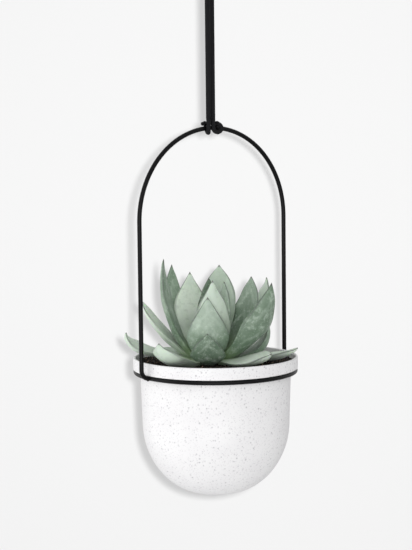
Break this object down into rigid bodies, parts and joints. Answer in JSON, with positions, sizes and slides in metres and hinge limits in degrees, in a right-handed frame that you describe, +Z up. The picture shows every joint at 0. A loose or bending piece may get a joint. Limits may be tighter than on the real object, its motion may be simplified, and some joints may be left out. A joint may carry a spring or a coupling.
{
  "type": "hanging planter",
  "caption": "Round speckled pot resting by its collar in a black wire ring with an arched handle, hung by a doubled cord from a ceiling hook, with soil and a rosette succulent.",
  "frame": {"origin": "where the hook's screw enters the ceiling, on the screw's axis", "axes": "+Z up along the screw; the wire arch stands in the XZ plane; the round knot faces -Y"},
  "size_m": [0.1674, 0.15, 0.5211],
  "materials": {
    "hook_steel": "satin",
    "cord": "matte",
    "black_wire": "satin",
    "speckled_shell": "satin",
    "plug_rubber": "matte",
    "soil": "matte",
    "leaf_flesh": "satin"
  },
  "bodies": {
    "hook": {"ceiling_hook": "hook_steel"},
    "cord": {"cord": "cord", "left_hitch": "cord", "right_knot": "cord"},
    "frame": {"wire_ring": "black_wire", "wire_arch": "black_wire", "weld_left": "black_wire", "weld_right": "black_wire"},
    "pot": {"pot": "speckled_shell", "drain_plug": "plug_rubber", "soil": "soil", "plant_stem": "leaf_flesh", "leaf_heart_front": "leaf_flesh", "leaf_heart_right": "leaf_flesh", "leaf_heart_back": "leaf_flesh", "leaf_front_kite": "leaf_flesh", "leaf_back_tall": "leaf_flesh", "leaf_left_broad": "leaf_flesh", "leaf_right_mid": "leaf_flesh", "leaf_left_thin": "leaf_flesh", "leaf_left_tall": "leaf_flesh", "leaf_right_tall": "leaf_flesh", "leaf_right_back": "leaf_flesh", "leaf_front_cup": "leaf_flesh", "leaf_right_low_back": "leaf_flesh", "leaf_left_arm": "leaf_flesh", "leaf_back_arm": "leaf_flesh", "leaf_left_low": "leaf_flesh", "leaf_front_left_low": "leaf_flesh", "leaf_front_right_low": "leaf_flesh", "leaf_right_low": "leaf_flesh", "leaf_right_shade": "leaf_flesh", "leaf_back_right_low": "leaf_flesh", "leaf_back_left_low": "leaf_flesh"}
  },
  "joints": [
    {"name": "cord_swing", "type": "hinge", "parent": "hook", "child": "cord", "pos_m": [0, 0, -0.02937], "axis": [-0.4067, 0.9135, 0], "range_deg": [-25, 25]},
    {"name": "frame_rock", "type": "hinge", "parent": "cord", "child": "frame", "pos_m": [0.0026, 0, -0.15737], "axis": [1, 0, 0], "range_deg": [-20, 20]},
    {"name": "pot_lift", "type": "slide", "parent": "frame", "child": "pot", "axis": [0, 0, 1], "range_m": [0, 0.115]}
  ]
}
